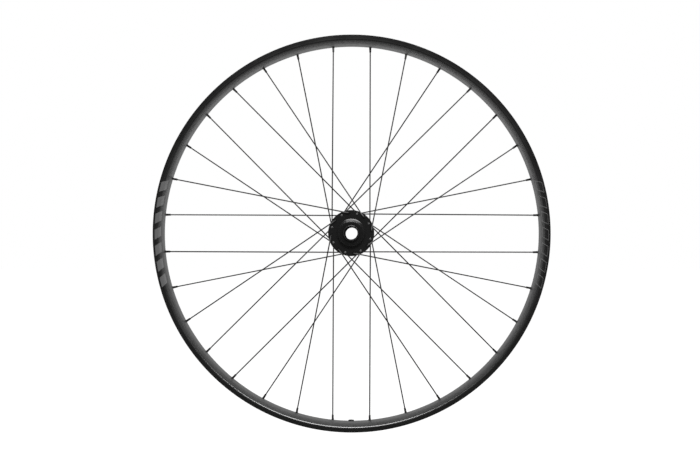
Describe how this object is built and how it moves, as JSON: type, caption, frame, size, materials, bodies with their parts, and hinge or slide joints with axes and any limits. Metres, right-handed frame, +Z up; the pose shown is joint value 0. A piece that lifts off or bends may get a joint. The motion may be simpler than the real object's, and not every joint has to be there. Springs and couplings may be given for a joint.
{
  "type": "front bicycle wheel",
  "caption": "Spoked front bicycle wheel with a hollow black rim, crossed wire spokes and a through-axle disc hub that spins on sealed bearings.",
  "frame": {"origin": "centre of the wheel, on the axle midway between the fork faces", "axes": "+Y along the axle towards the disc side, +Z up, valve hole at the bottom"},
  "size_m": [0.6339, 0.11, 0.634],
  "materials": {
    "rim_anodised": "satin black",
    "hub_anodised": "satin black",
    "cap_anodised": "satin black",
    "axle_alloy": "turned",
    "spoke_black": "black oxide",
    "nipple_black": "black nickel",
    "bearing_steel": "ground",
    "seal_rubber": "matte",
    "rubber_black": "matte"
  },
  "bodies": {
    "axle": {"axle_sleeve": "axle_alloy", "right_end_cap": "cap_anodised", "left_end_cap": "cap_anodised", "right_bearing_inner_ring": "bearing_steel", "left_bearing_inner_ring": "bearing_steel"},
    "wheel": {"rim": "rim_anodised", "valve_bush": "rubber_black", "hub_shell": "hub_anodised", "right_spoke_01": "spoke_black", "left_spoke_01": "spoke_black", "right_spoke_02": "spoke_black", "left_spoke_02": "spoke_black", "right_spoke_03": "spoke_black", "left_spoke_03": "spoke_black", "right_spoke_04": "spoke_black", "left_spoke_04": "spoke_black", "right_spoke_05": "spoke_black", "left_spoke_05": "spoke_black", "right_spoke_06": "spoke_black", "left_spoke_06": "spoke_black", "right_spoke_07": "spoke_black", "left_spoke_07": "spoke_black", "right_spoke_08": "spoke_black", "left_spoke_08": "spoke_black", "right_spoke_09": "spoke_black", "left_spoke_09": "spoke_black", "right_spoke_10": "spoke_black", "left_spoke_10": "spoke_black", "right_spoke_11": "spoke_black", "left_spoke_11": "spoke_black", "right_spoke_12": "spoke_black", "left_spoke_12": "spoke_black", "right_spoke_13": "spoke_black", "left_spoke_13": "spoke_black", "right_spoke_14": "spoke_black", "left_spoke_14": "spoke_black", "right_spoke_15": "spoke_black", "left_spoke_15": "spoke_black", "right_spoke_16": "spoke_black", "left_spoke_16": "spoke_black", "right_nipples": "nipple_black", "left_nipples": "nipple_black", "right_bearing_outer_ring": "bearing_steel", "right_bearing_seals": "seal_rubber", "left_bearing_outer_ring": "bearing_steel", "left_bearing_seals": "seal_rubber"}
  },
  "joints": [
    {"name": "wheel_spin", "type": "hinge", "parent": "axle", "child": "wheel", "pos_m": [0, 0, 0], "axis": [0, 1, 0], "continuous": true}
  ]
}
